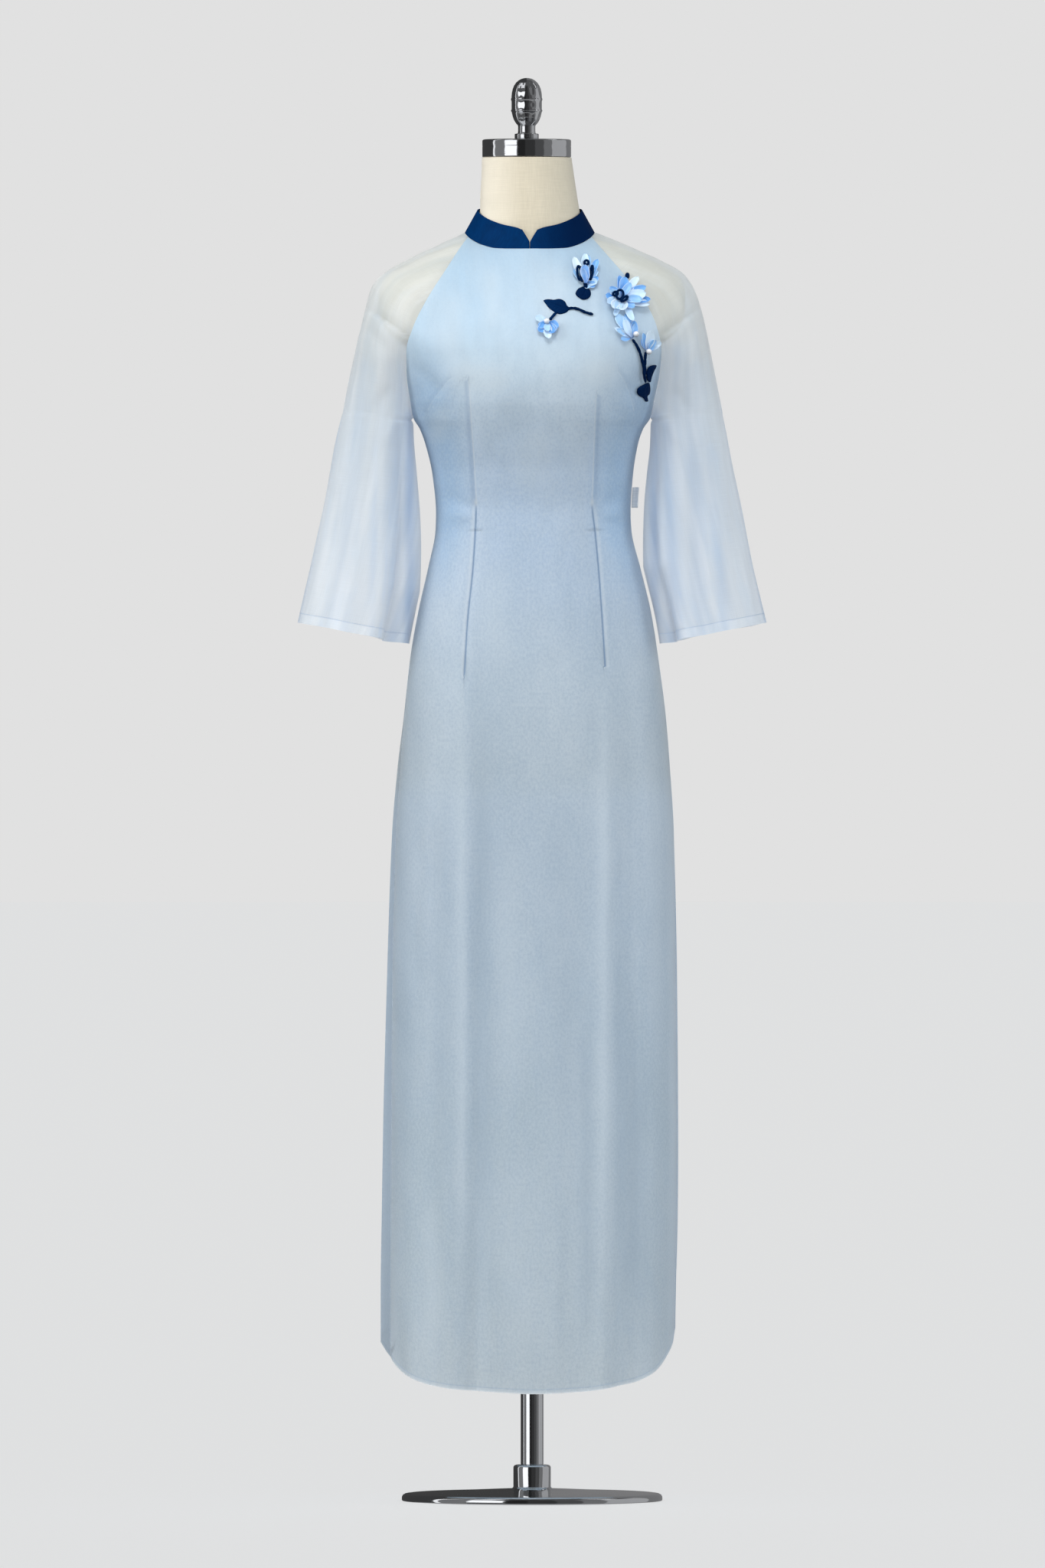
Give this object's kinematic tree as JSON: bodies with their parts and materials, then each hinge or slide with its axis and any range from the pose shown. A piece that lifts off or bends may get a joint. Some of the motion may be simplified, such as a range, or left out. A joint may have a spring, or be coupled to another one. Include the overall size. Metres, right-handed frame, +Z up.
{
  "type": "ao dai tunic on a dress form",
  "caption": "Long silk tunic with side slits, sheer raglan bell sleeves, a stand collar and ribbon flowers, on a limbless dress form with a pole and round base.",
  "frame": {"origin": "centre of the base's underside, on the floor", "axes": "+Z up, the front of the tunic faces -Y, the applique is on the +X side of the chest"},
  "size_m": [0.5759, 0.32, 1.7465],
  "materials": {
    "silk": "soft satin sheen",
    "organza": "sheer",
    "navy_satin": "satin",
    "petal_ribbon": "satin ribbon",
    "pearl": "pearl",
    "linen": "plain woven cover",
    "chrome": "polished",
    "label_tape": "woven tape"
  },
  "bodies": {
    "root": {"front": "silk", "back_left": "silk", "back_right": "silk", "sleeve_left": "organza", "sleeve_right": "organza", "collar_left": "navy_satin", "collar_right": "navy_satin", "flower_a": "petal_ribbon", "flower_a_heart": "petal_ribbon", "flower_c": "petal_ribbon", "flower_d": "petal_ribbon", "flower_e": "petal_ribbon", "flower_f": "petal_ribbon", "leaf_a": "navy_satin", "leaf_b": "navy_satin", "leaf_g": "navy_satin", "leaf_h": "navy_satin", "stem_b_long": "navy_satin", "stem_b_short": "navy_satin", "stem_e": "navy_satin", "stem_f": "navy_satin", "flower_a_loop": "navy_satin", "flower_d_loop": "navy_satin", "pearl_c": "pearl", "pearl_e": "pearl", "pearl_f": "pearl", "side_label": "label_tape", "form_torso": "linen", "neck_cap": "chrome", "finial": "chrome", "pole_socket": "chrome", "pole": "chrome", "base": "chrome"}
  },
  "joints": []
}
